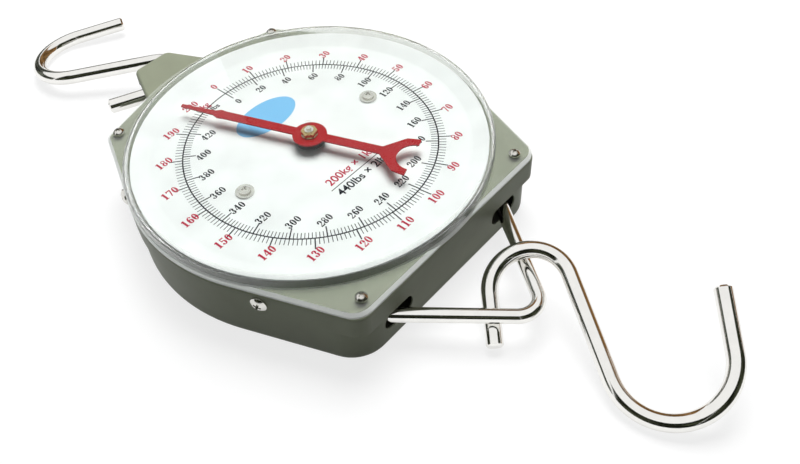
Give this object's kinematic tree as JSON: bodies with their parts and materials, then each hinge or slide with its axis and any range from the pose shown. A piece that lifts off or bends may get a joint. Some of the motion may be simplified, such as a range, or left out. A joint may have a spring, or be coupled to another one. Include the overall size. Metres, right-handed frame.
{
  "type": "crane scale",
  "caption": "Mechanical dial hanging scale: a flat steel casing with a clear domed cover, a red pointer, an S-hook above and a wire bail with an S-hook below.",
  "frame": {"origin": "on the dial's axis in the plane of the rear face", "axes": "+Z out of the dial towards the viewer, +Y towards the upper hook, +X to the right as the dial is read; the load pulls along -Y"},
  "size_m": [0.2036, 0.4999, 0.0576],
  "materials": {
    "casing": "satin",
    "clear_cover": "clear",
    "dial": "gloss white",
    "zinc": "zinc plated",
    "screw_steel": "nickel plated",
    "hook_steel": "bright plated",
    "spring_steel": "oiled",
    "brass": "satin",
    "pointer_red": "gloss red",
    "black": "satin black"
  },
  "bodies": {
    "case": {"front_shell": "casing", "rear_shell": "casing", "side_screws": "screw_steel", "side_nuts": "zinc", "dial_plate": "dial", "dial_washers": "screw_steel", "dial_screws": "screw_steel", "dial_posts": "zinc", "dial_cover": "clear_cover", "corner_screws": "screw_steel", "corner_nuts": "zinc", "main_frame": "zinc", "frame_nuts": "zinc", "upper_spring_pins": "zinc", "left_spring": "spring_steel", "right_spring": "spring_steel", "rack_guide": "brass", "guide_screws": "zinc", "rear_bush": "brass", "front_bush": "brass", "bridge": "zinc", "bridge_pillars": "zinc", "bridge_screws": "zinc", "hanger_front": "zinc", "hanger_rear": "zinc", "hanger_pin": "zinc", "hanger_bolts": "zinc", "hanger_nuts": "zinc", "hanger_spacers": "zinc"},
    "draw": {"yoke": "zinc", "lower_spring_pins": "zinc", "rack": "brass", "rack_pin": "zinc", "load_bail": "hook_steel", "bail_nuts": "zinc", "bail_washers": "zinc"},
    "pointer_set": {"spindle": "screw_steel", "pinion": "brass", "pointer": "pointer_red", "pointer_boss": "black", "pointer_washer": "zinc", "pointer_nut": "brass"},
    "upper_hook": {"upper_hook": "hook_steel"},
    "lower_hook": {"lower_hook": "hook_steel"}
  },
  "joints": [
    {"name": "draw_slide", "type": "slide", "parent": "case", "child": "draw", "axis": [0, -1, 0], "range_m": [0, 0.0382], "stiffness_N_per_m": 54300, "deforming": ["left_spring", "right_spring"]},
    {"name": "pointer_turn", "type": "hinge", "parent": "case", "child": "pointer_set", "pos_m": [0, 0, 0], "axis": [0, 0, 1], "range_deg": [-366, 1]},
    {"name": "upper_hook_swing", "type": "hinge", "parent": "case", "child": "upper_hook", "pos_m": [-0.00337, 0.14537, 0.02042], "axis": [0.0077, -0.1546, -0.9879], "range_deg": [-40, 40]},
    {"name": "lower_hook_swing", "type": "hinge", "parent": "draw", "child": "lower_hook", "pos_m": [0.00682, -0.1422, 0.01901], "axis": [-0.4425, -0.0571, 0.8949], "range_deg": [-60, 4]}
  ],
  "couplings": [
    {"joint": "pointer_turn", "follows": "draw_slide", "rad_per_m": -166.67}
  ]
}
